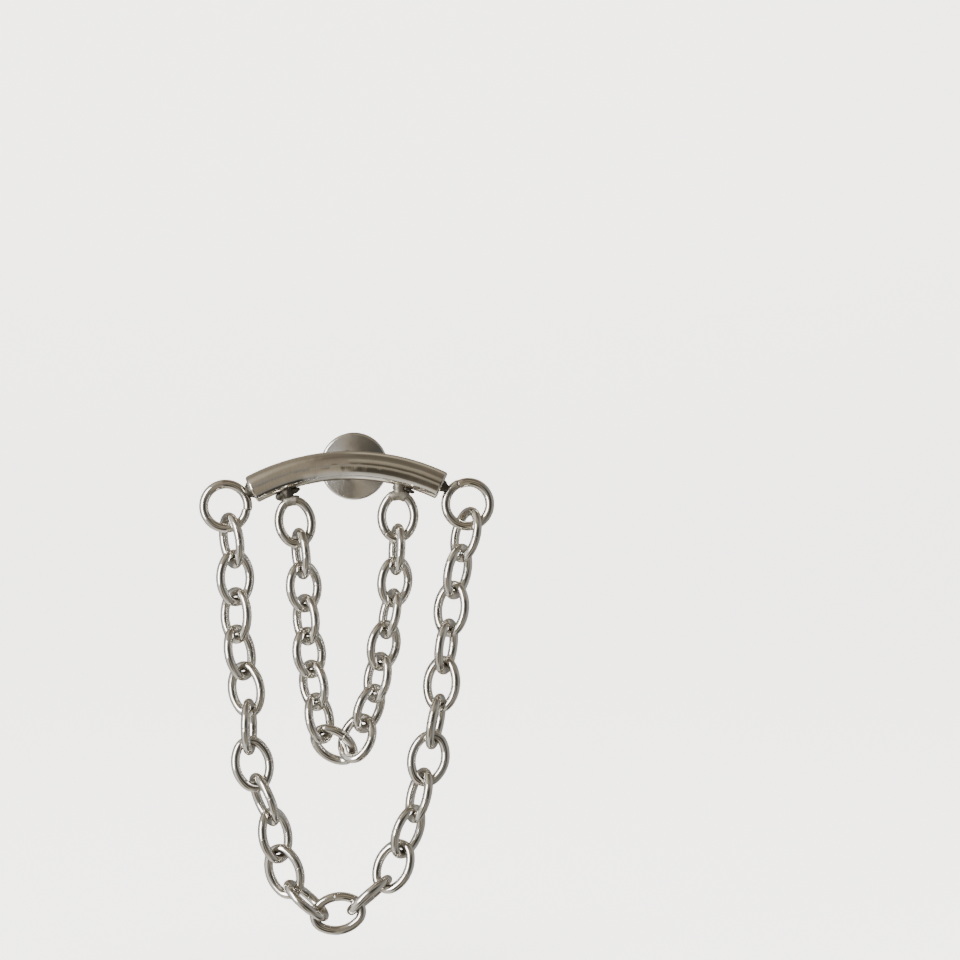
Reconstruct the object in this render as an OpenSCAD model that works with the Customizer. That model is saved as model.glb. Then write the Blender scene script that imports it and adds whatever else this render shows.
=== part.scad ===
// Ear stud: a curved round bar lies across the ear lobe, and two chains hang from it.
// Behind the bar a plain post goes through the lobe to a flat round back.
// The origin is where the post's axis meets the skin. The front faces -Y, and +Z is up.

/* [Curved bar] */
// Diameter of the round bar
bar_d = 1.2; // [1.0:0.05:1.3]
// Radius of the arch that the middle of the bar follows
arch_r = 8.8; // [8.6:0.1:9.0]
// Half of the angle that the arch spans
arch_half = 26.8; // [26:0.2:27.4]
// Tilt of the bar as it is worn, its right end higher
bar_tilt = 1.2; // [0.8:0.2:1.6]
// Bevel around each cut end of the bar
end_bevel = 0.1; // [0.05:0.01:0.15]

/* [Wire and rings] */
// Diameter of the wire of every ring and link
wire_d = 0.38; // [0.35:0.01:0.38]
// Outer diameter of the round ring on each end of the bar
end_ring_d = 2.22; // [2.2:0.01:2.24]
// Width of the cut where the wire of a ring was closed
ring_cut = 0.04; // [0.03:0.01:0.06]
// Diameter of the solder where it leaves the bar
solder_bar_d = 0.64; // [0.5:0.02:0.7]
// Diameter of the solder where it takes hold of a ring
solder_ring_d = 0.44; // [0.42:0.01:0.5]

/* [Outer chain] */
// Outer length of a link
outer_length = 2.38; // [2.38:0.01:2.4]
// Outer width of a link
outer_width = 1.78; // [1.75:0.01:1.8]
// Distance between the middles of two links in a straight stretch
outer_pitch = 1.57; // [1.56:0.005:1.57]

/* [Inner chain] */
// Outer length of a link, and of the two oval rings under the bar
inner_length = 2.18; // [2.18:0.01:2.19]
// Outer width of a link, and of the two oval rings under the bar
inner_width = 1.73; // [1.71:0.01:1.75]
// Distance between the middles of two links in a straight stretch
inner_pitch = 1.38; // [1.37:0.005:1.38]

/* [Post] */
// Diameter of the post
post_d = 1.2; // [1.0:0.1:1.2]
// Length of the post between the skin behind the bar and the flat back
post_length = 6; // [5:0.5:8]
// Diameter of the flat back
back_d = 3; // [2.5:0.5:5]
// Thickness of the flat back
back_t = 0.5; // [0.4:0.1:0.8]
// Gap between the bar and the skin, which the post's front end leaves open
skin_gap = 0.05; // [0.03:0.01:0.1]

/* [Hidden] */
$fn = 48;
steel = [0.80, 0.78, 0.75];
dull_steel = [0.70, 0.68, 0.66];

// The middle planes of the bar, its rings and both chains lie this far in front of the skin
hang_y = -(bar_d / 2 + skin_gap);
back_bevel = 0.12;

// Half of the angle that an oval loop's side bends through, from the 3-4-5 triangle
side_half = atan2(3, 4);

// Columns of the end ring table
DISTANCE = 0;
DROOP = 1;
END_CUT = 2;

// End rings, the left one first: distance of the ring's middle from the middle of the bar's end,
// angle below level of that line, and place of the cut in degrees from the ring's right side,
// turning up: [distance, droop, cut]
end_rings = [
    [1.27, 32, -10],
    [1.31, 35, 115],
];

// Columns of the oval ring table
X = 0;
Z = 1;
LEAN = 2;
SOLDERED_AT = 3;
OVAL_CUT = 4;

// Oval rings under the bar, the left one first: middle, lean of the lower end to the right in
// degrees, where the solder leaves the bar in degrees to the right of the bar's middle, and
// place of the cut in degrees from the ring's right side, turning up:
// [x, z, lean, soldered at, cut]
oval_rings = [
    [-2.13, -2.37, 10, -18.6, -41],
    [2.15, -2.13, -3, 14.2, -125],
];

// Columns of the link tables
HEADING = 0;
ROLL = 1;
DIP = 2;

// Outer chain, a row for each link from the left ring to the right one. The heading is the way
// that the chain runs, in degrees from straight down, turning to the right and then up. The
// roll turns a link about its own length, in degrees: [heading, roll]
outer_rows = [
    [8, 57],
    [2, -35],
    [0, 43],
    [11, -54],
    [8, 28],
    [1, -82],
    [12, -10],
    [22, 63],
    [11, -47],
    [18, 23],
    [49, -81],
    [101, 1],
    [131, 79],
    [153, -27],
    [161, 49],
    [165, -62],
    [167, 6],
    [170, 76],
    [173, -32],
    [173, 66],
    [172, -37],
    [169, 56],
    [166, -52],
];

// Inner chain, a row for each link from the left ring to the right one. The dip is how far a
// link's far end leans forward, in degrees: [heading, roll, dip]
inner_rows = [
    [6, 68, 0],
    [4, -37, 0],
    [4, 52, 0],
    [7, -44, 0],
    [9, 47, 2],
    [11, -56, 4],
    [51, 30, -10],
    [161, -32, -15],
    [161, 52, 0],
    [168, -53, 2],
    [170, 42, 0],
    [168, -66, 0],
    [175, 37, 0],
    [177, -74, 0],
];

// Middles of the inner chain's four links around its sharp fold, from link 06 to link 09, the
// second column counted forward from the middle plane: [x, forward, z]
fold_rows = [
    [-1.11, 0.13, -10.52],
    [-0.52, -0.12, -11.65],
    [0.46, 0.07, -11.36],
    [0.94, -0.09, -10.14],
];
links_before_fold = 6;

// Middle of a chain's first and last link, from the middle of the ring that carries it: [x, z]
outer_seats = [[0.25, -1.435], [-0.075, -1.275]];
inner_seats = [[0.24, -1.31], [-0.04, -1.37]];

outer_count = len(outer_rows);
inner_count = len(inner_rows);

arch_centre = [arch_r * sin(bar_tilt), hang_y, -arch_r * cos(bar_tilt)];

// Point on the middle line of the bar, at an angle to the right of the bar's middle
function on_arch(angle) =
    arch_centre + arch_r * [sin(angle - bar_tilt), 0, cos(angle - bar_tilt)];

function side_of(i) = i == 0 ? -1 : 1;
function bar_end(i) = on_arch(side_of(i) * arch_half);
function end_ring_middle(i) =
    let (ring = end_rings[i])
    bar_end(i) + ring[DISTANCE] * [side_of(i) * cos(ring[DROOP]), 0, -sin(ring[DROOP])];
function oval_ring_middle(i) = [oval_rings[i][X], hang_y, oval_rings[i][Z]];

function seat(ring_middle, offset) = ring_middle + [offset[0], 0, offset[1]];
function fold_place(row) = [row[0], hang_y - row[1], row[2]];

// Direction of a link's length
function along(row) =
    let (dip = len(row) > DIP ? row[DIP] : 0)
    [sin(row[HEADING]) * cos(dip), -sin(dip), -cos(row[HEADING]) * cos(dip)];

// Distance from a link's middle to its joint with the next link. A link that is seen edge-on
// reaches to the middle of its own bow, and one that is seen face-on only to its seat.
function reach(row, next, length, pitch) =
    let (turned = pow(sin(row[ROLL]), 2),
         next_turned = pow(sin(next[ROLL]), 2),
         far = (length - wire_d) / 2,
         near = pitch - far)
    near + (far - near) * turned / (turned + next_turned);

// Middles of the links of a stretch of chain that starts at a given place
function walk(rows, place, length, pitch, i = 0) =
    i == len(rows) - 1 ? [place] :
    let (out = reach(rows[i], rows[i + 1], length, pitch),
         next = place + out * along(rows[i]) + (pitch - out) * along(rows[i + 1]))
    concat([place], walk(rows, next, length, pitch, i + 1));

// The same stretch with what is left over at its end shared out between its joints
function hung_between(rows, start, stop, length, pitch) =
    let (places = walk(rows, start, length, pitch),
         joints = len(rows) - 1,
         left_over = (stop - places[joints]) / joints)
    [for (i = [0 : joints]) places[i] + i * left_over];

function slice(rows, first, last) = [for (i = [first : last]) rows[i]];

outer_places = hung_between(
    outer_rows,
    seat(end_ring_middle(0), outer_seats[0]),
    seat(end_ring_middle(1), outer_seats[1]),
    outer_length, outer_pitch);

inner_places = concat(
    hung_between(
        slice(inner_rows, 0, links_before_fold - 1),
        seat(oval_ring_middle(0), inner_seats[0]),
        fold_place(fold_rows[0]),
        inner_length, inner_pitch),
    [fold_place(fold_rows[1]), fold_place(fold_rows[2])],
    hung_between(
        slice(inner_rows, links_before_fold + 2, inner_count - 1),
        fold_place(fold_rows[3]),
        seat(oval_ring_middle(1), inner_seats[1]),
        inner_length, inner_pitch));

function two_digits(number) = str(number < 10 ? "0" : "", number);
function outer_name(i) = str("outer_link_", two_digits(i + 1));
function inner_name(i) = str("inner_link_", two_digits(i + 1));

// Stretch of wire bent to a radius, between two angles that turn up from the right
module bent_wire(radius, from, to) {
    rotate([90, -from, 0])
        rotate_extrude(angle = to - from)
            translate([radius, 0])
                circle(d = wire_d);
}

// Closed oval loop of wire, standing on end: two tight bows and two gently bent sides. Each is
// made of two stretches that meet face to face, the bow's clear of its top.
module oval_loop(length, width) {
    spread = (length - width) / (2 * (sin(side_half) + cos(side_half) - 1));
    bow_r = (length - wire_d) / 2 - spread * sin(side_half);
    for (turn = [0, 180])
        rotate([0, turn, 0]) {
            translate([0, 0, spread * sin(side_half)]) {
                bent_wire(bow_r, side_half, side_half + 90);
                bent_wire(bow_r, side_half + 90, 180 - side_half);
            }
            translate([-spread * cos(side_half), 0, 0]) {
                bent_wire(bow_r + spread, -side_half, 0);
                bent_wire(bow_r + spread, 0, side_half);
            }
        }
}

// A loop turned as its table row says and put with its middle at a place
module hung_link(row, place, length, width) {
    dip = len(row) > DIP ? row[DIP] : 0;
    translate(place)
        rotate([-dip, -row[HEADING], 0])
            rotate([0, 0, -row[ROLL]])
                oval_loop(length, width);
}

module outer_link(i) {
    color(steel)
        hung_link(outer_rows[i], outer_places[i], outer_length, outer_width);
}

module inner_link(i) {
    color(steel)
        hung_link(inner_rows[i], inner_places[i], inner_length, inner_width);
}

// Thin blade that cuts the wire of a ring, at an angle from the ring's right side, turning up
module cut_blade(angle) {
    rotate([0, -angle, 0])
        translate([0, -wire_d, -ring_cut / 2])
            cube([end_ring_d, 2 * wire_d, ring_cut]);
}

// Tapered bridge of solder between two points of the bar's plane
module solder(bar_point, ring_point) {
    run = ring_point - bar_point;
    translate(bar_point)
        rotate([0, atan2(run[0], run[2]), 0])
            cylinder(d1 = solder_bar_d, d2 = solder_ring_d, h = norm(run));
}

module bar_rod() {
    translate(arch_centre)
        rotate([90, arch_half - bar_tilt - 90, 0])
            rotate_extrude(angle = 2 * arch_half)
                translate([arch_r, 0])
                    circle(d = bar_d);
    for (i = [0, 1])
        translate(bar_end(i))
            rotate([0, side_of(i) * (90 + arch_half) - bar_tilt, 0])
                cylinder(d1 = bar_d, d2 = bar_d - 2 * end_bevel, h = end_bevel);
}

module end_ring(i) {
    middle = end_ring_middle(i);
    ring_r = (end_ring_d - wire_d) / 2;
    toward_bar = (bar_end(i) - middle) / norm(bar_end(i) - middle);
    translate(middle)
        difference() {
            rotate([90, 0, 0])
                rotate_extrude()
                    translate([ring_r, 0])
                        circle(d = wire_d);
            cut_blade(end_rings[i][END_CUT]);
        }
    solder(bar_end(i), middle + ring_r * toward_bar);
}

module oval_ring(i) {
    ring = oval_rings[i];
    middle = oval_ring_middle(i);
    top = (inner_length - wire_d) / 2 * [-sin(ring[LEAN]), 0, cos(ring[LEAN])];
    translate(middle)
        difference() {
            rotate([0, -ring[LEAN], 0])
                oval_loop(inner_length, inner_width);
            cut_blade(ring[OVAL_CUT]);
        }
    solder(on_arch(ring[SOLDERED_AT]), middle + top);
}

module curved_bar() {
    color(dull_steel) {
        bar_rod();
        for (i = [0, 1]) {
            end_ring(i);
            oval_ring(i);
        }
    }
}

module post() {
    color(dull_steel)
        rotate([-90, 0, 0])
            rotate_extrude()
                polygon([
                    [0, 0],
                    [post_d / 2, 0],
                    [post_d / 2, post_length],
                    [back_d / 2 - back_bevel, post_length],
                    [back_d / 2, post_length + back_bevel],
                    [back_d / 2, post_length + back_t - back_bevel],
                    [back_d / 2 - back_bevel, post_length + back_t],
                    [0, post_length + back_t],
                ]);
}

curved_bar();
post();
for (i = [0 : outer_count - 1])
    outer_link(i);
for (i = [0 : inner_count - 1])
    inner_link(i);
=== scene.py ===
"""Flat back stud with a curved bar and two hanging chains, dressed in polished steel.

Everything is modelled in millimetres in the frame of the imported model, and is brought to metres
as its last step. The front faces -Y, +Z is up, and the post runs along +Y.
"""
import logging
import math
from dataclasses import dataclass, field
from enum import Enum
from typing import Callable, Sequence

import bpy
import numpy as np
from mathutils import Matrix, Vector


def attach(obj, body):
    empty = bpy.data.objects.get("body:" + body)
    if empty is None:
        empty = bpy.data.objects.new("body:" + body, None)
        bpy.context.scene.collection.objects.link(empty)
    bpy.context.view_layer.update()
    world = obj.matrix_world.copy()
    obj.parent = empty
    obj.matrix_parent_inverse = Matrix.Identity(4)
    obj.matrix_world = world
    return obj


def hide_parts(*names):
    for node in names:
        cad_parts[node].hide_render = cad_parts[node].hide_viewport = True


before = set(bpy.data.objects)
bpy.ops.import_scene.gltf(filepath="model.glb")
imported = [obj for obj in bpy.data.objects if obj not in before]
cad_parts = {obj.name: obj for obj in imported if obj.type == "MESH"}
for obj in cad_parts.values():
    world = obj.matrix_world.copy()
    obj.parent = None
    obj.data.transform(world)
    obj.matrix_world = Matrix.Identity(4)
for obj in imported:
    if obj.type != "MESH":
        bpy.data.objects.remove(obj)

log = logging.getLogger("flat_back_stud")

Colour = tuple[float, float, float]
Pair = tuple[float, float]
Pairs = Sequence[Pair]
Piece = bpy.types.Object
Finish = bpy.types.Material
Value = "Flow | float"

MM = 0.001
BODY = "root"
# Mesh attribute for rougher, darker steel: wear and joints, and painted shade at contacts, cuts
# and solder.
DULL = "dull"

BAR_D = 1.2
WIRE_D = 0.38
HANG_Y = -0.65  # the plane that the bar and the chains hang in
SIDE_HALF = math.atan2(3, 4)  # half the angle that an oval's side bends through
MERGED = 0.0005  # points this close are one point
TOUCHING = 0.003  # a wire whose ends are this close is closed
NOTHING = 1e-6  # a stretch of wire this short is left out
ALL_OVER = 20.0  # reach of a spot that dulls a whole piece


class Slot(Enum):
    """Names of three material slots."""

    BAR = "bar_steel"
    CHAIN = "chain_steel"
    POST = "post_steel"


# Shader values and nodes


class Flow:
    """A shader value that takes part in arithmetic, wrapped round an output socket."""

    def __init__(self, paint: "Paint", socket: bpy.types.NodeSocket) -> None:
        """Keeps the socket, and the paint whose nodes the arithmetic is added to."""
        self.paint = paint
        self.socket = socket

    def _joined(self, operation: str, first: Value, second: Value) -> "Flow":
        """Adds a Math node that joins two values."""
        return self.paint.node("ShaderNodeMath", {"operation": operation}, {0: first, 1: second})

    def __add__(self, other: Value) -> "Flow":
        """This value plus another."""
        return self._joined("ADD", self, other)

    def __sub__(self, other: Value) -> "Flow":
        """This value less another."""
        return self._joined("SUBTRACT", self, other)

    def __rsub__(self, other: Value) -> "Flow":
        """Another value less this one."""
        return self._joined("SUBTRACT", other, self)

    def __mul__(self, other: Value) -> "Flow":
        """This value times another."""
        return self._joined("MULTIPLY", self, other)

    def __truediv__(self, other: Value) -> "Flow":
        """This value divided by another."""
        return self._joined("DIVIDE", self, other)

    __radd__ = __add__
    __rmul__ = __mul__


class Paint:
    """One material or world and the nodes that are added to it."""

    def __init__(self, owner: bpy.types.ID) -> None:
        """Clears the owner's nodes.

        Args:
            owner: A material or a world.
        """
        owner.use_nodes = True
        self.owner = owner
        self.tree = owner.node_tree
        self.tree.nodes.clear()

    def node(self, kind: str, settings: dict[str, object] | None = None,
             sockets: dict[int | str, object] | None = None, output: int | str = 0) -> Flow:
        """Adds a node of any type.

        Args:
            kind: The node's type.
            settings: Its settings, set first.
            sockets: The values or links of its input sockets.
            output: The output that is handed on.

        Returns:
            That output, wrapped.
        """
        made = self.tree.nodes.new(kind)
        for name, value in (settings or {}).items():
            setattr(made, name, value)
        for name, value in (sockets or {}).items():
            if isinstance(value, Flow):
                self.tree.links.new(value.socket, made.inputs[name])
            else:
                made.inputs[name].default_value = value
        return Flow(self, made.outputs[output] if made.outputs else None)

    def mixed(self, factor: Value, first: "Flow | Colour", second: "Flow | Colour") -> Flow:
        """Mixes two colours, with the factor as the second one's share."""
        first, second = ((*c, 1.0) if isinstance(c, tuple) else c for c in (first, second))
        return self.node("ShaderNodeMix", {"data_type": "RGBA"},
                         {0: factor, 6: first, 7: second}, 2)

    def blended(self, factor: Value, first: Value, second: Value) -> Flow:
        """Mixes two values, with the factor as the second one's share."""
        return self.node("ShaderNodeMix", {"data_type": "FLOAT"},
                         {0: factor, 2: first, 3: second})

    def eased(self, value: Value, start: float, stop: float) -> Flow:
        """Rises smoothly from 0 to 1 while a value goes from start to stop.

        Args:
            value: The value.
            start: Where the rise starts.
            stop: Where it stops.

        Returns:
            The rise.
        """
        return self.node("ShaderNodeMapRange", {"interpolation_type": "SMOOTHSTEP"},
                         {"Value": value, "From Min": start, "From Max": stop})


@dataclass(frozen=True)
class Steel:
    """Polished steel with a cloudy tone and fine marks, rougher and darker where `dull` marks wear
    and painted shade.
    """

    name: str
    bright: Colour = (0.825, 0.8, 0.755)
    shaded: Colour = (0.68, 0.655, 0.605)
    # Darkening where `dull` says so: tarnish and wear, and painted shade at contacts, cuts and
    # solder.
    tarnish_and_shade: Colour = (0.20, 0.18, 0.15)
    tarnish_and_shade_share: float = 0.85
    roughness: float = 0.09
    cloud_roughness: float = 0.08
    dull_roughness: float = 0.30
    cloud_mm: float = 1.6
    cloud_share: float = 0.75
    tone_from: float = 0.36
    tone_to: float = 0.62
    mark_mm: float = 0.05
    mark_stretch: float = 14.0
    mark_slant: float = 0.35
    mark_depth: float = 0.0003
    pit_mm: float = 0.16
    pit_depth: float = 6.0
    pit_bite: float = 0.5
    skin_from: float = 0.25
    skin_to: float = 0.85
    wave_mm: float = 0.55
    wave_depth: float = 0.010

    def material(self) -> Finish:
        """Builds the material.

        Returns:
            The material, reading Object coordinates and the piece's `dull` attribute.
        """
        paint = Paint(bpy.data.materials.new(self.name))
        place = paint.node("ShaderNodeTexCoord", output="Object")
        along = paint.node("ShaderNodeMapping", {}, {
            "Vector": place, "Rotation": (0.0, self.mark_slant, 0.0),
            "Scale": (1.0, 1.0, 1 / self.mark_stretch)})
        clouds = self._noise(paint, place, self.cloud_mm, detail=4.0, rough=0.55)
        marks = self._noise(paint, along, self.mark_mm, detail=2.0, rough=0.6)
        pits = self._noise(paint, place, self.pit_mm, detail=3.0, rough=0.6)
        waves = self._noise(paint, place, self.wave_mm, detail=1.0, rough=0.4)
        dull = paint.node("ShaderNodeAttribute", {"attribute_name": DULL}, output="Fac")
        # How far the piece darkens and roughens: wear, and painted shade at contacts, cuts and
        # solder.
        skin = paint.node("ShaderNodeMapRange", {}, {
            "Value": dull + (pits - 0.5) * self.pit_bite,
            "From Min": self.skin_from, "From Max": self.skin_to})
        tone = paint.node("ShaderNodeMapRange", {}, {
            "Value": clouds * self.cloud_share + marks * (1 - self.cloud_share),
            "From Min": self.tone_from, "From Max": self.tone_to})
        clean = paint.mixed(tone, self.shaded, self.bright)
        relief = (marks + skin * pits * self.pit_depth) * self.mark_depth
        bump = paint.node("ShaderNodeBump", {}, {
            "Strength": 1.0, "Distance": MM, "Height": relief + waves * self.wave_depth})
        worn = (clouds - 0.5) * self.cloud_roughness + skin * self.dull_roughness
        surface = paint.node("ShaderNodeBsdfPrincipled", {}, {
            "Base Color": paint.mixed(skin * self.tarnish_and_shade_share, clean, self.tarnish_and_shade),
            "Metallic": 1.0, "Roughness": self.roughness + worn, "Normal": bump})
        paint.node("ShaderNodeOutputMaterial", {}, {"Surface": surface})
        return paint.owner

    @staticmethod
    def _noise(paint: Paint, place: Flow, grain_mm: float, detail: float, rough: float) -> Flow:
        """Adds noise.

        Args:
            paint: The material's paint.
            place: The place that the noise is read at.
            grain_mm: How wide its grain is.
            detail: How many finer layers it has.
            rough: How strong each finer layer is.

        Returns:
            The noise, from 0 to 1.
        """
        return paint.node("ShaderNodeTexNoise", {"noise_dimensions": "3D"}, {
            "Vector": place, "Scale": 1 / (grain_mm * MM), "Detail": detail, "Roughness": rough})


# Modelling tools


def ahead(way: float) -> Vector:
    """Direction in the plane of the front, at an angle from the right that turns up."""
    return Vector((math.cos(way), 0, math.sin(way)))


def leftward(way: float) -> Vector:
    """Direction to the left of that, also in the plane of the front."""
    return Vector((-math.sin(way), 0, math.cos(way)))


def swung(at: Vector, way: float, radius: float, angle: float) -> tuple[Vector, Vector]:
    """Follows an arc that turns left.

    Args:
        at: Where it starts.
        way: Its heading there, in radians from the right.
        radius: Its radius.
        angle: How far it turns, in radians.

    Returns:
        The middle of its circle, and where it ends.
    """
    middle = at + radius * leftward(way)
    return middle, middle + Matrix.Rotation(-angle, 3, "Y") @ (at - middle)


class Bench:
    """The modelling steps that every piece shares, all in millimetres."""

    @staticmethod
    def pick(*pieces: Piece) -> None:
        """Selects some pieces and nothing else.

        Args:
            pieces: The pieces, of which the first becomes the active one.
        """
        bpy.ops.object.select_all(action="DESELECT")
        for piece in pieces:
            piece.select_set(True)
        if pieces:
            bpy.context.view_layer.objects.active = pieces[0]

    @staticmethod
    def edit(mode: str = "EDIT") -> None:
        """Goes into or out of edit mode."""
        bpy.ops.object.mode_set(mode=mode)

    @classmethod
    def edit_where(cls, piece: Piece, chosen: Callable[[Vector], bool]) -> None:
        """Goes into edit mode with only some points selected.

        Args:
            piece: The piece.
            chosen: Says of a point's place whether it is selected.
        """
        cls.pick(piece)
        for part in (*piece.data.polygons, *piece.data.edges):
            part.select = False
        for corner in piece.data.vertices:
            corner.select = chosen(corner.co)
        cls.edit()

    @classmethod
    def circle(cls, name: str, middle: Vector, facing: Vector, diameter: float,
               sides: int) -> Piece:
        """Starts a piece with an open circle, and stays in edit mode with it selected.

        Args:
            name: The piece's name.
            middle: The circle's middle.
            facing: The direction that the circle faces.
            diameter: Its diameter.
            sides: How many sides it has.

        Returns:
            The new object.
        """
        cls.pick()
        bpy.ops.mesh.primitive_circle_add(
            vertices=sides, radius=diameter / 2, fill_type="NOTHING", location=middle,
            rotation=facing.to_track_quat("Z", "X").to_euler())
        made = bpy.context.object
        made.name = made.data.name = name
        bpy.ops.object.transform_apply(location=True, rotation=True, scale=True)
        cls.edit()
        bpy.ops.mesh.select_all(action="SELECT")
        return made

    @classmethod
    def turned(cls, name: str, start: Vector, facing: Vector, profile: Pairs,
               sides: int) -> Piece:
        """Makes a round form by extruding a circle along a line and resizing it on the way.

        Args:
            name: The piece's name.
            start: Where the line starts.
            facing: The line's direction, of length one.
            profile: Pairs of distance from the start and diameter, in order.
            sides: How many sides it has.

        Returns:
            The closed form, in object mode.
        """
        (last, diameter), *rest = profile
        made = cls.circle(name, start + last * facing, facing, diameter, sides)
        for distance, wider in rest:
            bpy.ops.mesh.extrude_region_move(
                TRANSFORM_OT_translate={"value": (distance - last) * facing})
            k = wider / diameter
            bpy.ops.transform.resize(value=(k, k, k), center_override=start + distance * facing)
            last, diameter = distance, wider
        cls.close()
        return made

    @classmethod
    def close(cls, rounding: float = 0.0, sides: int = 0) -> None:
        """Merges what meets, fills the open ends, and leaves edit mode with faces outwards.

        Args:
            rounding: How far the edges of the filled ends are rounded.
            sides: How many sides a filled end has.
        """
        bpy.ops.mesh.select_all(action="SELECT")
        bpy.ops.mesh.remove_doubles(threshold=MERGED)
        bpy.ops.mesh.select_all(action="SELECT")
        bpy.ops.mesh.fill_holes(sides=0)
        bpy.ops.mesh.select_all(action="SELECT")
        bpy.ops.mesh.normals_make_consistent(inside=False)
        if rounding:
            bpy.ops.mesh.select_all(action="DESELECT")
            bpy.ops.mesh.select_mode(type="FACE")
            bpy.ops.mesh.select_face_by_sides(number=sides, type="EQUAL")
            bpy.ops.mesh.bevel(offset=rounding, segments=4, affect="EDGES")
            bpy.ops.mesh.select_mode(type="VERT")
        cls.edit("OBJECT")

    @classmethod
    def smooth(cls, piece: Piece, degrees: float = 50.0) -> None:
        """Shades a piece smooth up to an angle.

        Args:
            piece: The piece.
            degrees: The largest angle that is still smooth.
        """
        cls.pick(piece)
        bpy.ops.object.shade_smooth_by_angle(angle=math.radians(degrees))

    @classmethod
    def apply_modifier(cls, piece: Piece, kind: str, **settings: object) -> None:
        """Gives a piece a modifier and applies it.

        Args:
            piece: The piece.
            kind: The modifier's type.
            settings: The modifier's settings.
        """
        added = piece.modifiers.new(kind.lower(), kind)
        for name, value in settings.items():
            setattr(added, name, value)
        cls.pick(piece)
        bpy.ops.object.modifier_apply(modifier=added.name)

    @classmethod
    def settle(cls, piece: Piece, place: Matrix | None = None) -> None:
        """Puts a piece in its place in metres, with the place in its mesh.

        Args:
            piece: The piece, in millimetres.
            place: Where it goes, in millimetres.
        """
        piece.matrix_world = Matrix.Scale(MM, 4) @ (place or Matrix.Identity(4))
        cls.pick(piece)
        bpy.ops.object.transform_apply(location=True, rotation=True, scale=True)

    @staticmethod
    def stain(piece: Piece, *spots: tuple[Vector, float]) -> None:
        """Writes how dull each point of a piece is, from its distance to some spots.

        Args:
            piece: The piece, in millimetres.
            spots: Pairs of a point and a reach.
        """
        mesh = piece.data
        at = np.zeros(len(mesh.vertices) * 3, np.float32)
        mesh.vertices.foreach_get("co", at)
        at = at.reshape(-1, 3)
        dull = np.zeros(len(at), np.float32)
        for point, reach in spots:
            near = 1 - np.linalg.norm(at - np.array(point), axis=1) / reach
            dull = np.maximum(dull, np.clip(near, 0, 1))
        layer = mesh.attributes.get(DULL) or mesh.attributes.new(DULL, "FLOAT", "POINT")
        layer.data.foreach_set("value", dull.astype(np.float32))


@dataclass(frozen=True)
class Bend:
    """One arc of a bent wire, turning left."""

    radius: float
    degrees: float
    steps: int


@dataclass
class WireBender:
    """Bends round wire along arcs that run smoothly into each other, in a plane facing -Y."""

    diameter: float = WIRE_D
    sides: int = 24

    def bend(self, name: str, start: Vector, heading: float, bends: Sequence[Bend],
             end_rounding: float = 0.02) -> Piece:
        """Bends one length of wire. It is closed where its end meets its start.

        Args:
            name: The piece's name.
            start: The middle of the wire's first end.
            heading: The way it sets out, in degrees from the right, turning up.
            bends: Its arcs, in order.
            end_rounding: How far the edges of cut ends are rounded.

        Returns:
            The bent wire, in object mode.
        """
        at, way = start, math.radians(heading)
        made = Bench.circle(name, start, ahead(way), self.diameter, self.sides)
        for arc in bends:
            angle = math.radians(arc.degrees)
            middle, at = swung(at, way, arc.radius, angle)
            bpy.ops.mesh.spin(steps=arc.steps, angle=angle, center=middle, axis=(0, 1, 0))
            way += angle
        closed = (at - start).length <= TOUCHING
        Bench.close(0.0 if closed else end_rounding, self.sides)
        return made


# The chains


@dataclass(frozen=True)
class Seat:
    """Where a loop of wire hangs: its middle in millimetres, and its turn."""

    middle: Vector
    turn: Matrix

    @classmethod
    def of_node(cls, name: str) -> "Seat":
        """Finds the seat of a packed link from the spread of its surface.

        Args:
            name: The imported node's name.

        Returns:
            The seat, with the loop's length along its own Z and its width along its own X.
        """
        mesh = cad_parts[name].data
        mesh.calc_loop_triangles()
        at = np.zeros(len(mesh.vertices) * 3)
        mesh.vertices.foreach_get("co", at)
        corners = np.zeros(len(mesh.loop_triangles) * 3, np.int32)
        mesh.loop_triangles.foreach_get("vertices", corners)
        tri = at.reshape(-1, 3)[corners.reshape(-1, 3)] / MM
        normals = np.cross(tri[:, 1] - tri[:, 0], tri[:, 2] - tri[:, 0])
        area = np.linalg.norm(normals, axis=1) / 2
        middle = (tri.mean(1) * area[:, None]).sum(0) / area.sum()
        away = tri.mean(1) - middle
        _, ways = np.linalg.eigh((away * area[:, None]).T @ away)
        length, width = Vector(ways[:, 2]), Vector(ways[:, 1])
        if length.z < 0:
            length = -length
        if width.x < 0:
            width = -width
        turn = Matrix((width, length.cross(width), length)).transposed()
        return cls(Vector(middle), turn)

    def matrix(self, half_turn: bool) -> Matrix:
        """Gives the seat as a matrix, with the loop turned half round its length if asked.

        Args:
            half_turn: Whether the loop is turned half round.

        Returns:
            The matrix, in millimetres.
        """
        about = Matrix.Rotation(math.pi if half_turn else 0.0, 4, "Z")
        return Matrix.Translation(self.middle) @ self.turn.to_4x4() @ about


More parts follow.
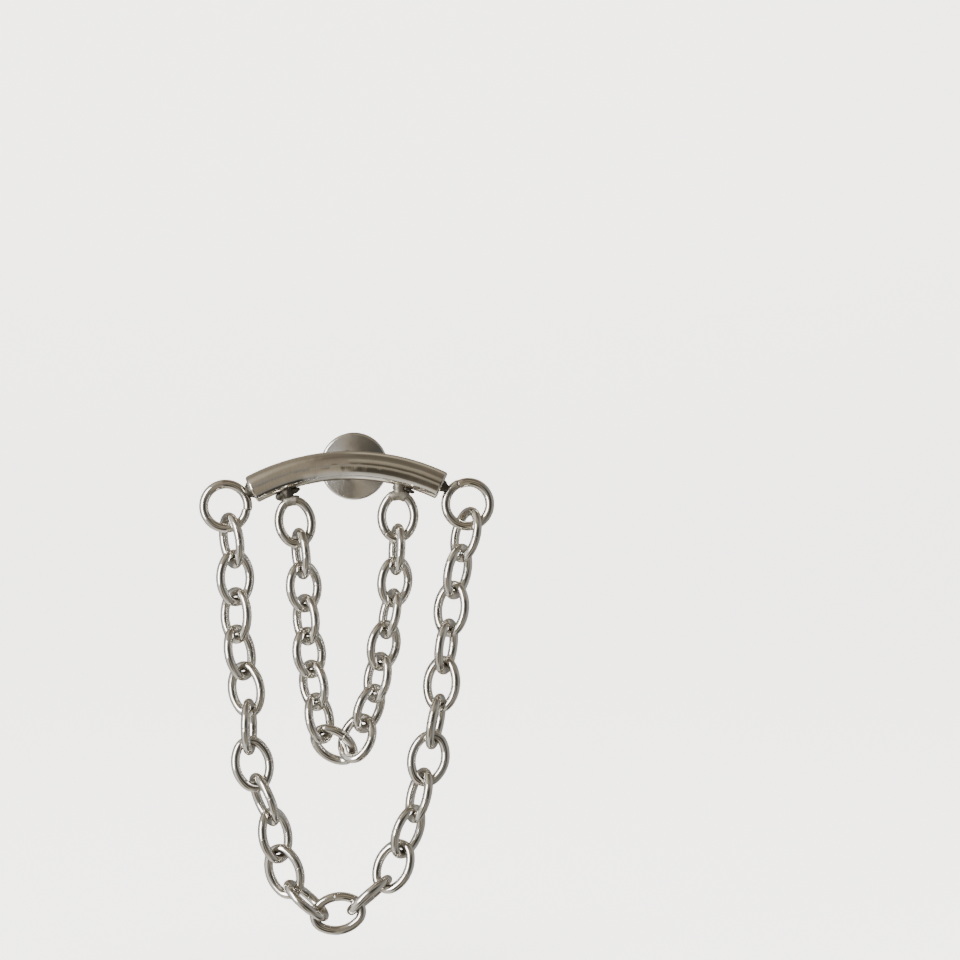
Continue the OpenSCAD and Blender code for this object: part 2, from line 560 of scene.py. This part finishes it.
@dataclass
class OvalLoop:
    """An oval of wire, standing on end: two tight bows and two gently bent sides."""

    length: float
    width: float
    wire: WireBender = field(default_factory=WireBender)
    step_mm: float = 0.06
    seam_half_mm: float = 0.03
    seam_reach_mm: float = 0.004
    seam_squeeze: float = 0.93
    seam_dull_mm: float = 0.23
    # Reach of the darkening inside each bow: rub wear and painted contact shade.
    rub_and_shade_mm: float = 0.52

    @property
    def side_middle(self) -> Vector:
        """Middle of the right side, on the wire's middle line."""
        return Vector(((self.width - self.wire.diameter) / 2, 0, 0))

    @property
    def bow_top(self) -> Vector:
        """Top of the upper bow, on the wire's middle line."""
        return Vector((0, 0, (self.length - self.wire.diameter) / 2))

    @property
    def bow_inside(self) -> Vector:
        """Inner side of the upper bow, where a neighbour rubs."""
        return Vector((0, 0, self.length / 2 - self.wire.diameter))

    @property
    def spread(self) -> float:
        """How much larger the side's radius is than the bow's."""
        return (self.length - self.width) / (2 * (math.sin(SIDE_HALF) + math.cos(SIDE_HALF) - 1))

    @property
    def bow_radius(self) -> float:
        """Radius of the bow's middle line."""
        return (self.length - self.wire.diameter) / 2 - self.spread * math.sin(SIDE_HALF)

    @property
    def _track(self) -> Pairs:
        """Radius and angle of each arc, once round from the middle of the right side."""
        bow, side = (self.bow_radius, math.pi - 2 * SIDE_HALF), self.bow_radius + self.spread
        return [(side, SIDE_HALF), bow, (side, 2 * SIDE_HALF), bow, (side, SIDE_HALF)]

    def _split(self, start: float, stop: float) -> Pairs:
        """Cuts a stretch out of the track, which runs on round the loop.

        Args:
            start: Where the stretch starts, in millimetres along the wire.
            stop: Where it stops.

        Returns:
            Radius and angle of each arc in the stretch.
        """
        parts, passed = [], 0.0
        for radius, angle in self._track * 2:
            first, last = max(start, passed), min(stop, passed + radius * angle)
            if last - first > NOTHING:
                parts.append((radius, (last - first) / radius))
            passed += radius * angle
        return parts

    def station(self, along: float) -> tuple[Vector, float]:
        """Finds a place on the wire's middle line.

        Args:
            along: How far along the wire it is, from the middle of the right side.

        Returns:
            The place, and the wire's heading there in degrees.
        """
        at, way = self.side_middle, math.pi / 2
        for radius, angle in self._split(0, along):
            _, at = swung(at, way, radius, angle)
            way += angle
        return at, math.degrees(way)

    def bent(self, name: str, cut_at: float = 0.0, opening: float = 0.0) -> Piece:
        """Bends the loop about the origin.

        Args:
            name: The piece's name.
            cut_at: Where its wire starts, in millimetres from the middle of the right side.
            opening: The gap that is left there. Without one the loop is closed.

        Returns:
            The loop, in millimetres.
        """
        total = sum(radius * angle for radius, angle in self._track)
        margin = opening / 2 if opening else self.seam_half_mm
        at, heading = self.station(cut_at + opening / 2)
        spans = [(cut_at + margin, cut_at + total - margin)]
        if not opening:
            spans = [(cut_at, cut_at + margin), *spans, (cut_at + total - margin, cut_at + total)]
        arcs = [Bend(radius, math.degrees(angle), max(2, round(radius * angle / self.step_mm)))
                for span in spans for radius, angle in self._split(*span)]
        return self.wire.bend(name, at, heading, arcs)

    def build(self, name: str) -> Piece:
        """Bends the closed loop of a chain, squeezed at its seam, with wear and painted shade
        where it rubs.

        Args:
            name: The piece's name.

        Returns:
            The loop, in millimetres.
        """
        made, k = self.bent(name), self.seam_squeeze
        Bench.edit_where(made, lambda at: abs(at.z) < self.seam_reach_mm and at.x > 0)
        bpy.ops.transform.resize(value=(k, k, 1.0), center_override=self.side_middle)
        Bench.edit("OBJECT")
        Bench.smooth(made)
        # Darker inside the bows, where the next links touch: rub wear and painted contact shade;
        # the seam is a real joint.
        Bench.stain(made, (self.bow_inside, self.rub_and_shade_mm), (-self.bow_inside, self.rub_and_shade_mm),
                    (self.side_middle, self.seam_dull_mm))
        return made


@dataclass
class Chain:
    """A chain of equal loops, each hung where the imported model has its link."""

    prefix: str
    count: int
    loop: OvalLoop
    finish: Finish
    turned_each: int = 3

    def build(self) -> None:
        """Bends one loop and hangs a copy of it for each link, some with the seam behind."""
        pattern = self.loop.build(f"{self.prefix}_pattern")
        pattern.data.materials.append(self.finish)
        for i in range(1, self.count + 1):
            node = f"{self.prefix}_link_{i:02d}"
            link = bpy.data.objects.new(f"{node}_wire", pattern.data.copy())
            bpy.context.scene.collection.objects.link(link)
            Bench.settle(link, Seat.of_node(node).matrix(half_turn=i % self.turned_each == 0))
            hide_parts(node)
            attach(link, BODY)
            log.info("%s chain: %s", self.prefix, link.name)
        bpy.data.objects.remove(pattern)


# The bar and what is soldered on


@dataclass(frozen=True)
class Arch:
    """The arch that the bar's middle line follows."""

    radius: float = 8.8
    half_degrees: float = 26.8
    tilt_degrees: float = 1.2

    @property
    def centre(self) -> Vector:
        """Middle of the arch's circle."""
        tilt = math.radians(self.tilt_degrees)
        return Vector((self.radius * math.sin(tilt), HANG_Y, -self.radius * math.cos(tilt)))

    def outward(self, degrees: float) -> Vector:
        """Direction away from the centre, at an angle to the right of the bar's middle."""
        angle = math.radians(degrees - self.tilt_degrees)
        return Vector((math.sin(angle), 0, math.cos(angle)))

    def along(self, degrees: float) -> Vector:
        """Direction of the bar to the right, at the same angle."""
        out = self.outward(degrees)
        return Vector((out.z, 0, -out.x))

    def point(self, degrees: float, off: float = 0.0) -> Vector:
        """Point on the bar's middle line, or that far off it outwards."""
        return self.centre + (self.radius + off) * self.outward(degrees)


@dataclass(frozen=True)
class EndRing:
    """Round ring on an end of the bar, with angles in degrees."""

    name: str
    side: int
    distance: float
    droop: float
    cut_at: float
    step: float
    solder_d: float


@dataclass(frozen=True)
class Solder:
    """A kind of solder: its look, how often it is smoothed, and how uneven its skin is."""

    finish: Finish
    smoothing: int
    unevenness: float


@dataclass(frozen=True)
class Lump:
    """Drop of solder between the bar and a ring."""

    x: float
    z: float
    size: float
    # Pale drops keep the solder's own colour; the others are near black as painted shade.
    pale: bool = False


@dataclass(frozen=True)
class OvalRing:
    """Oval ring under the bar, with angles in degrees."""

    name: str
    x: float
    z: float
    lean: float
    soldered_at: float
    cut_mm: float
    smear_span: float
    smear_off: float
    # A pale neck keeps the solder's own colour; otherwise it is near black as painted shade.
    pale_neck: bool
    lumps: tuple[Lump, ...]


@dataclass
class CurvedBar:
    """The bar with its four rings and their solder, with sizes in millimetres."""

    finish: Finish
    # The dark solder is near black, as painted shade in the gaps between the bar and its rings;
    # the pale solder keeps its own colour.
    dark: Solder
    pale: Solder
    arch: Arch = field(default_factory=Arch)
    wire: WireBender = field(default_factory=WireBender)
    smear_wire: WireBender = field(default_factory=lambda: WireBender(0.445))
    oval: OvalLoop = field(default_factory=lambda: OvalLoop(2.18, 1.73))
    rod_sides: int = 64
    rod_steps: int = 72
    rod_bevel: float = 0.1
    end_ring_d: float = 2.22
    sprung_degrees: float = 80.0
    end_steps: tuple[int, int] = (58, 18)
    ring_cut: float = 0.03
    # A dark core in each ring's cut, as painted shade in the gap.
    cut_shade_d: float = 0.36
    cut_shade_past: float = 0.04
    # Reach of darker spots: solder feet under the bar, an end ring's hold and the oval rings' bows
    # take wear and painted contact shade; ring cuts take painted shade.
    foot_dull: float = 0.42
    hold_dull: float = 0.48
    cut_dull: float = 0.16
    bow_dull: float = 0.5
    solder_sides: int = 24
    end_neck: Pairs = ((-0.5, 1.0), (-0.1, 1.0), (0.1, 1.0), (0.3, 0.8), (0.55, 0.62))
    end_neck_tip: Pair = (0.92, 0.32)
    oval_neck: Pairs = ((0.3, 0.5), (0.5, 0.48), (0.72, 0.42), (0.85, 0.38), (0.95, 0.34))
    smear_steps: int = 16
    smear_rounding: float = 0.2
    drop_back: float = 0.08
    drop_form: tuple[float, float, float] = (1.15, 0.95, 0.9)
    melt_voxel: float = 0.03
    swell_mm: float = 0.25
    end_rings: tuple[EndRing, ...] = (
        EndRing("end_ring_left", side=-1, distance=1.27, droop=32, cut_at=-8, step=0.06,
                solder_d=0.78),
        EndRing("end_ring_right", side=1, distance=1.31, droop=35, cut_at=115, step=0.03,
                solder_d=0.54),
    )
    oval_rings: tuple[OvalRing, ...] = (
        OvalRing("oval_ring_left", x=-2.13, z=-2.37, lean=10, soldered_at=-18.6,
                 cut_mm=4.334, smear_span=66, smear_off=0.015, pale_neck=False, lumps=(
                     Lump(-2.76, -1.32, 0.40), Lump(-2.58, -1.23, 0.40),
                     Lump(-2.38, -1.15, 0.36), Lump(-2.17, -1.05, 0.30),
                     Lump(-2.02, -0.98, 0.20), Lump(-2.42, -1.37, 0.28, pale=True),
                     Lump(-2.26, -1.36, 0.28, pale=True))),
        OvalRing("oval_ring_right", x=2.15, z=-2.13, lean=-3, soldered_at=14.2,
                 cut_mm=3.241, smear_span=88, smear_off=-0.015, pale_neck=True, lumps=(
                     Lump(2.08, -0.93, 0.30, pale=True), Lump(2.26, -0.95, 0.32, pale=True),
                     Lump(2.20, -1.34, 0.24, pale=True), Lump(2.46, -1.00, 0.28),
                     Lump(2.63, -1.07, 0.26), Lump(2.76, -1.12, 0.18))),
    )

    def build(self) -> None:
        """Builds the rod, the rings and the solder."""
        self._rod()
        for ring in self.end_rings:
            self._end_ring(ring)
        for ring in self.oval_rings:
            self._oval_ring(ring)

    @staticmethod
    def _hand_over(piece: Piece, finish: Finish, place: Matrix | None = None) -> None:
        """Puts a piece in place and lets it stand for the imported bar.

        Args:
            piece: The piece, in millimetres.
            finish: Its material.
            place: Where it goes.
        """
        Bench.settle(piece, place)
        piece.data.materials.append(finish)
        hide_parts("curved_bar")
        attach(piece, BODY)
        log.info("curved bar: %s", piece.name)

    def _rod(self) -> None:
        """Bends the rod and rounds the rims of its sawn ends."""
        half = self.arch.half_degrees
        made = Bench.circle("bar_rod", self.arch.point(-half), self.arch.along(-half), BAR_D,
                            self.rod_sides)
        bpy.ops.mesh.spin(steps=self.rod_steps, angle=math.radians(2 * half),
                          center=self.arch.centre, axis=(0, -1, 0))
        Bench.close(self.rod_bevel, self.rod_sides)
        Bench.smooth(made, degrees=60)
        # Darker round the solder feet under the bar: wear and painted shade where the rings meet
        # it.
        Bench.stain(made, *((self.arch.point(ring.soldered_at, -BAR_D / 2), self.foot_dull)
                            for ring in self.oval_rings))
        self._hand_over(made, self.finish)

    def _end_ring(self, ring: EndRing) -> None:
        """Bends one round ring, its last stretch sprung inwards, and solders it to the bar's end.

        Args:
            ring: The ring.
        """
        end = self.arch.point(ring.side * self.arch.half_degrees)
        droop = math.radians(ring.droop)
        middle = end + ring.distance * Vector((ring.side * math.cos(droop), 0, -math.sin(droop)))
        radius = (self.end_ring_d - self.wire.diameter) / 2
        gap = math.degrees(self.ring_cut / radius)
        start_at = ring.cut_at + gap / 2
        turn = math.radians(start_at)
        tail, tighter = self.sprung_degrees, radius - ring.step
        makes_up = math.degrees(ring.step * math.sin(math.radians(tail)) / tighter)
        long_steps, tail_steps = self.end_steps
        bends = [Bend(radius, 360 - gap - tail, long_steps),
                 Bend(tighter, tail + makes_up, tail_steps)]
        made = self.wire.bend(ring.name, middle + radius * ahead(turn), start_at + 90, bends)
        Bench.smooth(made)
        hold = middle + radius * (end - middle).normalized()
        cut = middle + radius * ahead(math.radians(ring.cut_at))
        # Darker where the bar holds it (wear and painted contact shade) and at its cut (painted
        # shade).
        Bench.stain(made, (hold, self.hold_dull), (cut, self.cut_dull))
        self._hand_over(made, self.finish)
        self._fill_cut(ring.name, cut, leftward(turn))
        profile = [(share, size * ring.solder_d) for share, size in self.end_neck]
        neck = self._neck(f"solder_{ring.name}", end, hold, [*profile, self.end_neck_tip])
        # The neck is dark solder: painted shade between the ring and the bar's end.
        self._melt(neck.name, [neck], self.dark)

    def _oval_ring(self, ring: OvalRing) -> None:
        """Bends one oval ring with its cut, and solders it under the bar.

        Args:
            ring: The ring.
        """
        place = (Matrix.Translation((ring.x, HANG_Y, ring.z))
                 @ Matrix.Rotation(-math.radians(ring.lean), 4, "Y"))
        top = self.oval.bow_top
        made = self.oval.bent(ring.name, ring.cut_mm, self.ring_cut)
        Bench.smooth(made)
        # Darker on both bows, where the bar and the next link touch: wear and painted contact
        # shade.
        Bench.stain(made, (top, self.bow_dull), (-self.oval.bow_inside, self.bow_dull))
        self._hand_over(made, self.finish, place)
        at, heading = self.oval.station(ring.cut_mm)
        self._fill_cut(ring.name, place @ at, place.to_3x3() @ ahead(math.radians(heading)))
        neck = self._neck(f"solder_{ring.name}", self.arch.point(ring.soldered_at), place @ top,
                          self.oval_neck)
        dark, pale = [], [self._smear(ring, place)]
        (pale if ring.pale_neck else dark).append(neck)
        for lump in ring.lumps:
            (pale if lump.pale else dark).append(self._drop(f"{ring.name}_drop", lump))
        # The dark parts stand as painted shade under the bar; the smear and pale parts keep the
        # solder's colour.
        self._melt(f"solder_{ring.name}_gap", dark, self.dark)
        self._melt(f"solder_{ring.name}_smear", pale, self.pale)

    def _fill_cut(self, ring: str, at: Vector, along: Vector) -> None:
        """Fills a ring's cut with a dark core, as painted shade between the wire's two ends.

        Args:
            ring: The ring's name.
            at: The middle of the cut.
            along: The wire's direction there.
        """
        reach = self.ring_cut + self.cut_shade_past
        profile = [(distance, self.cut_shade_d) for distance in (0.0, reach / 2, reach)]
        made = Bench.turned(f"{ring}_cut_grime", at - along * reach / 2, along, profile,
                            self.solder_sides)
        Bench.smooth(made)
        Bench.stain(made, (at, ALL_OVER))
        self._hand_over(made, self.dark.finish)

    def _smear(self, ring: OvalRing, place: Matrix) -> Piece:
        """Lays the solder that ran along the top of an oval ring's wire.

        Args:
            ring: The ring.
            place: Where the ring hangs.

        Returns:
            The solder, in millimetres.
        """
        radius = self.oval.bow_radius + ring.smear_off
        first = 90 - ring.smear_span / 2
        middle = self.oval.bow_top - Vector((0, 0, self.oval.bow_radius))
        start = place @ (middle + radius * ahead(math.radians(first)))
        return self.smear_wire.bend(f"{ring.name}_smear", start, first + 90 + ring.lean,
                                    [Bend(radius, ring.smear_span, self.smear_steps)],
                                    self.smear_rounding)

    def _neck(self, name: str, bar_point: Vector, ring_point: Vector, profile: Pairs) -> Piece:
        """Draws a neck of solder from the bar to a ring.

        Args:
            name: The piece's name.
            bar_point: The neck's first end, in the bar.
            ring_point: The middle of the ring's wire where it is held.
            profile: Pairs of distance, as a share of the way to the ring, and diameter.

        Returns:
            The neck, in millimetres.
        """
        run = ring_point - bar_point
        steps = [(share * run.length, diameter) for share, diameter in profile]
        return Bench.turned(name, bar_point, run.normalized(), steps, self.solder_sides)

    def _drop(self, name: str, lump: Lump) -> Piece:
        """Puts a drop of solder between the bar and a ring.

        Args:
            name: The piece's name.
            lump: The drop.

        Returns:
            The drop, in millimetres.
        """
        place = Vector((lump.x, HANG_Y + self.drop_back, lump.z))
        Bench.pick()
        bpy.ops.mesh.primitive_ico_sphere_add(subdivisions=4, radius=lump.size / 2, location=place)
        made = bpy.context.object
        made.name = made.data.name = name
        bpy.ops.object.transform_apply(location=True, rotation=True, scale=True)
        Bench.edit()
        bpy.ops.mesh.select_all(action="SELECT")
        bpy.ops.transform.resize(value=self.drop_form, center_override=place)
        Bench.edit("OBJECT")
        return made

    def _melt(self, name: str, parts: Sequence[Piece], kind: Solder) -> None:
        """Melts overlapping solder into one uneven mass.

        Args:
            name: The mass's name.
            parts: The neck, smear and drops that it is made of, in millimetres.
            kind: The kind of solder.
        """
        Bench.pick(*parts)
        if len(parts) > 1:
            bpy.ops.object.join()
        made = parts[0]
        made.name = made.data.name = name
        swell = bpy.data.textures.new(f"{name}_swell", "CLOUDS")
        swell.noise_scale = self.swell_mm
        Bench.apply_modifier(made, "REMESH", mode="VOXEL", voxel_size=self.melt_voxel)
        Bench.apply_modifier(made, "SMOOTH", factor=0.5, iterations=kind.smoothing)
        Bench.apply_modifier(made, "SUBSURF", levels=1, render_levels=1)
        Bench.apply_modifier(made, "DISPLACE", texture=swell, strength=kind.unevenness,
                             mid_level=0.5)
        Bench.smooth(made, degrees=80)
        # The whole mass takes its finish's darkening, which for the dark solder is painted shade.
        Bench.stain(made, (made.data.vertices[0].co.copy(), ALL_OVER))
        self._hand_over(made, kind.finish)


@dataclass
class FlatBackPost:
    """The post with its flat round back, with sizes in millimetres."""

    finish: Finish
    solder_finish: Finish
    diameter: float = 1.2
    length: float = 6.0
    back_d: float = 2.99
    back_t: float = 0.5
    bevel: float = 0.12
    rim_turns: tuple[float, ...] = (0, 30, 60, 90)
    shank: tuple[float, ...] = (0.0, 0.02, 1.0)
    fillet: Pairs = ((-0.08, 0.0), (-0.02, 0.04), (0.0, 0.14))
    dish_mm: float = 0.01
    dish_d: Pair = (2.49, 0.4)
    front_dull: float = 0.9
    sides: int = 64
    collar_y: float = -0.12
    collar: Pairs = ((0.0, 1.12), (0.08, 1.24), (0.13, 1.26), (0.2, 1.23), (0.26, 1.19))
    collar_sides: int = 48

    def profile(self) -> Pairs:
        """Lists the post's form from the bar to the back.

        Returns:
            Pairs of distance from the bar and diameter.
        """
        end = self.length + self.back_t
        steps = [(at, self.diameter) for at in self.shank]
        steps += [(self.length + at, self.diameter + wider) for at, wider in self.fillet]
        rim = [(self.bevel * (1 - math.cos(turn)),
                self.back_d - 2 * self.bevel * (1 - math.sin(turn)))
               for turn in map(math.radians, self.rim_turns)]
        steps += [(self.length + off, wide) for off, wide in rim]
        steps += [(end - off, wide) for off, wide in reversed(rim)]
        return steps + [(end - self.dish_mm, wide) for wide in self.dish_d]

    def build(self) -> None:
        """Turns the post with its back, and the solder that joins it to the bar."""
        start, backwards = Vector((0, 0, 0)), Vector((0, 1, 0))
        made = Bench.turned("post_turned", start, backwards, self.profile(), self.sides)
        Bench.smooth(made, degrees=35)
        Bench.stain(made, (start, self.front_dull))
        self._hand_over(made, self.finish)
        # The collar takes the near-black painted-shade solder.
        collar = Bench.turned("solder_post", Vector((0, self.collar_y, 0)), backwards, self.collar,
                              self.collar_sides)
        Bench.smooth(collar, degrees=80)
        Bench.stain(collar, (start, ALL_OVER))
        self._hand_over(collar, self.solder_finish)

    @staticmethod
    def _hand_over(piece: Piece, finish: Finish) -> None:
        """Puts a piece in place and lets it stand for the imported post.

        Args:
            piece: The piece, in millimetres.
            finish: Its material.
        """
        Bench.settle(piece)
        piece.data.materials.append(finish)
        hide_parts("post")
        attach(piece, BODY)
        log.info("post: %s", piece.name)


# The studio


@dataclass(frozen=True)
class SoftBox:
    """A flat light that faces the stud."""

    name: str
    place: tuple[float, float, float]
    width: float
    height: float
    power: float
    mirrored: bool = True


@dataclass
class Studio:
    """Pale floor, soft lights and the camera, with sizes in millimetres."""

    pixels_per_mm: float = 24.0
    frame_px: float = 960.0
    lens: float = 100.0
    sensor: float = 36.0
    clip: Pair = (2.0, 10000.0)
    aim: Pair = (5.571, -0.6125)
    floor_z: float = -21.5
    wall_y: float = 150.0
    reach: float = 420.0
    sweep: float = 45.0
    sweep_steps: int = 24
    floor_colour: Colour = (0.86, 0.84, 0.81)
    floor_glow: Colour = (0.86, 0.85, 0.83)
    floor_strength: float = 1.8
    lit_z: float = -8.0
    boxes: tuple[SoftBox, ...] = (
        SoftBox("window_left", (-120, -130, 20), 55, 160, 0.42),
        SoftBox("top_soft", (10, -60, 210), 260, 200, 1.5, mirrored=False),
    )
    # Glow of each direction round the stud, by its angle in degrees from the front.
    around: Pairs = (
        (-180, 0.34), (-130, 0.29), (-100, 0.42), (-76, 1.2), (-40, 1.4), (-24, 0.42), (-8, 0.27),
        (2, 0.20), (9, 0.05), (30, 0.04), (43, 0.13), (60, 0.31), (84, 0.46), (104, 0.50),
        (130, 0.30), (180, 0.34))
    over_left: Pairs = (
        (-180, 0.30), (-150, 0.20), (-128, 0.48), (-106, 0.40), (-96, 0.04), (-70, 0.045),
        (-60, 0.30), (-40, 0.34), (0, 0.34), (60, 0.35), (100, 0.32), (140, 0.34), (180, 0.30))
    over_middle: Pairs = (
        (-180, 0.25), (-150, 0.08), (-134, 0.14), (-116, 0.50), (-95, 0.60), (-50, 0.50),
        (-26, 0.34), (18, 0.30), (44, 0.26), (70, 0.16), (100, 0.20), (130, 0.30), (180, 0.25))
    over_right: Pairs = (
        (-180, 0.22), (-150, 0.07), (-136, 0.20), (-120, 1.6), (-100, 0.9), (-76, 0.8),
        (-60, 0.6), (-50, 0.09), (-30, 0.055), (-14, 0.08), (-6, 0.32), (2, 0.50), (8, 0.11),
        (18, 0.09), (28, 0.30), (44, 0.40), (56, 0.18), (82, 0.13), (100, 0.16), (118, 0.60),
        (138, 0.18), (180, 0.20))
    # Where the light's parts meet, in shares of a direction's length.
    split_x: float = 0.05
    split_level: float = 0.2
    split_soft: float = 0.15
    split_spread: float = 3.0
    pole_soft: float = 0.0001
    left_to_middle: Pair = (-0.21, -0.11)
    middle_to_right: Pair = (-0.05, 0.05)
    facing_cone: Pair = (0.0025, 0.008)
    facing_glow: float = 0.34
    facing_warmth: float = 0.93
    warm_rise: Pair = (-0.98, -0.6)
    warm_steep: Pair = (0.3, 0.9)
    low_tint: Colour = (1.0, 0.985, 0.93)
    high_tint: Colour = (1.14, 1.0, 0.78)
    backdrop_seen: Colour = (0.48, 0.475, 0.46)
    backdrop_strength: float = 7.8

    def build(self) -> None:
        """Sets up the studio."""
        self._camera()
        self._floor()
        self._world()
        for box in self.boxes:
            self._light(box)
        log.info("studio: camera, floor, %d lights", len(self.boxes))

    def _camera(self) -> None:
        """Stands the camera straight in front, as far off as the photo's frame asks."""
        data = bpy.data.cameras.new("front_camera")
        data.lens, data.sensor_width = self.lens, self.sensor
        data.clip_start, data.clip_end = (distance * MM for distance in self.clip)
        away = self.frame_px / self.pixels_per_mm * self.lens / self.sensor
        camera = bpy.data.objects.new("front_camera", data)
        bpy.context.scene.collection.objects.link(camera)
        x, z = self.aim
        camera.location = Vector((x, HANG_Y - away, z)) * MM
        camera.rotation_euler = (math.pi / 2, 0, 0)
        bpy.context.scene.camera = camera

    def _floor(self) -> None:
        """Sweeps a pale floor up into a wall behind the stud."""
        Bench.pick()
        bpy.ops.mesh.primitive_plane_add(
            size=2 * self.reach, location=(0, self.wall_y - self.reach, self.floor_z))
        made = bpy.context.object
        made.name = "pale_floor"
        bpy.ops.object.transform_apply(location=True, rotation=True, scale=True)
        Bench.edit_where(made, lambda at: at.y > self.wall_y - 1)
        bpy.ops.mesh.select_mode(type="EDGE")
        bpy.ops.mesh.extrude_region_move(TRANSFORM_OT_translate={"value": (0, 0, self.reach)})
        bpy.ops.mesh.select_mode(type="VERT")
        Bench.edit("OBJECT")
        Bench.edit_where(made, lambda at: at.y > self.wall_y - 1 and at.z < self.floor_z + 1)
        bpy.ops.mesh.select_mode(type="EDGE")
        bpy.ops.mesh.bevel(offset=self.sweep, segments=self.sweep_steps, affect="EDGES")
        bpy.ops.mesh.select_mode(type="VERT")
        Bench.edit("OBJECT")
        Bench.smooth(made, degrees=60)
        Bench.settle(made)
        paint = Paint(bpy.data.materials.new("pale_matt"))
        surface = paint.node("ShaderNodeBsdfPrincipled", {}, {
            "Base Color": (*self.floor_colour, 1.0), "Roughness": 0.9,
            "Emission Color": (*self.floor_glow, 1.0), "Emission Strength": self.floor_strength})
        paint.node("ShaderNodeOutputMaterial", {}, {"Surface": surface})
        made.data.materials.append(paint.owner)
        made.visible_glossy = False

    def _world(self) -> None:
        """Fills the room with soft light, which the camera sees as an even pale backdrop.

        The light over and under the bar has a left, a middle and a right part. The steel mirrors
        even light from straight in front.
        """
        world = bpy.data.worlds.new("soft_room")
        bpy.context.scene.world = world
        paint = Paint(world)
        way = paint.node("ShaderNodeTexCoord", output="Generated")
        x, y, z = (paint.node("ShaderNodeSeparateXYZ", {}, {"Vector": way}, axis)
                   for axis in "XYZ")
        front = y * -1.0
        up_or_down = paint.node("ShaderNodeMath", {"operation": "SIGN"}, {0: z})
        rise = paint.node("ShaderNodeMath", {"operation": "ABSOLUTE"}, {0: z})
        aside = x + self.split_x
        fan = paint.blended(paint.eased(rise, 0.0, self.split_level), aside * self.split_spread,
                            aside / (z + up_or_down * self.split_soft))
        left, middle, right = (self._ring_of_light(paint, z, front, stops)
                               for stops in (self.over_left, self.over_middle, self.over_right))
        over = paint.blended(paint.eased(fan, *self.left_to_middle), left, middle)
        over = paint.blended(paint.eased(fan, *self.middle_to_right), over, right)
        steep = z * z / (x * x + z * z + self.pole_soft)
        glow = paint.blended(steep, self._ring_of_light(paint, x, front, self.around), over)
        beside = paint.eased(x * x + z * z, *self.facing_cone)
        facing = paint.eased(front, 0.0, 0.5) * (1.0 - beside)
        glow = paint.blended(facing, glow, self.facing_glow)
        high = paint.eased(z, *self.warm_rise) * paint.eased(steep, *self.warm_steep)
        warm = paint.blended(facing, high, self.facing_warmth)
        tint = paint.mixed(warm, self.low_tint, self.high_tint)
        room = paint.node("ShaderNodeBackground", {}, {"Color": tint, "Strength": glow})
        backdrop = paint.node("ShaderNodeBackground", {}, {
            "Color": (*self.backdrop_seen, 1.0), "Strength": self.backdrop_strength})
        seen = paint.node("ShaderNodeLightPath", output="Is Camera Ray")
        both = paint.node("ShaderNodeMixShader", {}, {0: seen, 1: room, 2: backdrop})
        paint.node("ShaderNodeOutputWorld", {}, {"Surface": both})

    @staticmethod
    def _ring_of_light(paint: Paint, sideways: Flow, front: Flow, stops: Pairs) -> Flow:
        """Lights the directions of a ring round the stud.

        Args:
            paint: The world's paint.
            sideways: How far a direction points to the side that the angle turns to.
            front: How far it points to the front.
            stops: Pairs of angle in degrees from the front and glow, from -180 to 180.

        Returns:
            The glow.
        """
        angle = paint.node("ShaderNodeMath", {"operation": "ARCTAN2"}, {0: sideways, 1: front})
        share = angle * (0.5 / math.pi) + 0.5
        lit = paint.node("ShaderNodeValToRGB", {}, {"Fac": share})
        elements = lit.socket.node.color_ramp.elements
        while len(elements) < len(stops):
            elements.new(0.5)
        for element, (degrees, glow) in zip(elements, stops):
            element.position = degrees / 360 + 0.5
            element.color = (glow, glow, glow, 1.0)
        return lit

    def _light(self, box: SoftBox) -> None:
        """Hangs a light and turns it to the stud.

        Args:
            box: The light.
        """
        data = bpy.data.lights.new(box.name, "AREA")
        data.shape = "RECTANGLE"
        data.size, data.size_y = box.width * MM, box.height * MM
        data.energy = box.power
        light = bpy.data.objects.new(box.name, data)
        bpy.context.scene.collection.objects.link(light)
        light.location = Vector(box.place) * MM
        aim = Vector((0, HANG_Y, self.lit_z)) * MM
        light.rotation_euler = (aim - light.location).to_track_quat("-Z", "Y").to_euler()
        light.visible_glossy = box.mirrored


def main() -> None:
    """Builds the stud and its studio."""
    logging.basicConfig(level=logging.INFO, format="%(message)s")
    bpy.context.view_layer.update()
    chain_finish = Steel("chain_polish").material()
    # The bar's steel is a little warmer than the chain's: partly its own tint, partly a painted
    # warm reflection.
    bar_finish = Steel("bar_polish", bright=(0.79, 0.757, 0.70), shaded=(0.65, 0.615, 0.55),
                       roughness=0.045, cloud_mm=2.4).material()
    # Near-black solder, as painted shade between the bar and its rings and round the post.
    solder_finish = Steel("solder_painted_shade", bright=(0.30, 0.28, 0.25), shaded=(0.17, 0.155, 0.135),
                          tarnish_and_shade=(0.12, 0.11, 0.09), roughness=0.26, cloud_mm=0.4).material()
    smear_finish = Steel("solder_smear", bright=(0.56, 0.53, 0.48), shaded=(0.44, 0.41, 0.36),
                         tarnish_and_shade=(0.38, 0.35, 0.30), roughness=0.24, cloud_mm=0.4).material()
    post_finish = Steel("post_polish", roughness=0.2).material()
    CurvedBar(bar_finish, Solder(solder_finish, smoothing=24, unevenness=0.06),
              Solder(smear_finish, smoothing=12, unevenness=0.02)).build()
    Chain("outer", 23, OvalLoop(2.38, 1.78), chain_finish).build()
    Chain("inner", 14, OvalLoop(2.18, 1.73), chain_finish).build()
    FlatBackPost(post_finish, solder_finish).build()
    Studio().build()


if __name__ == "__main__":
    main()
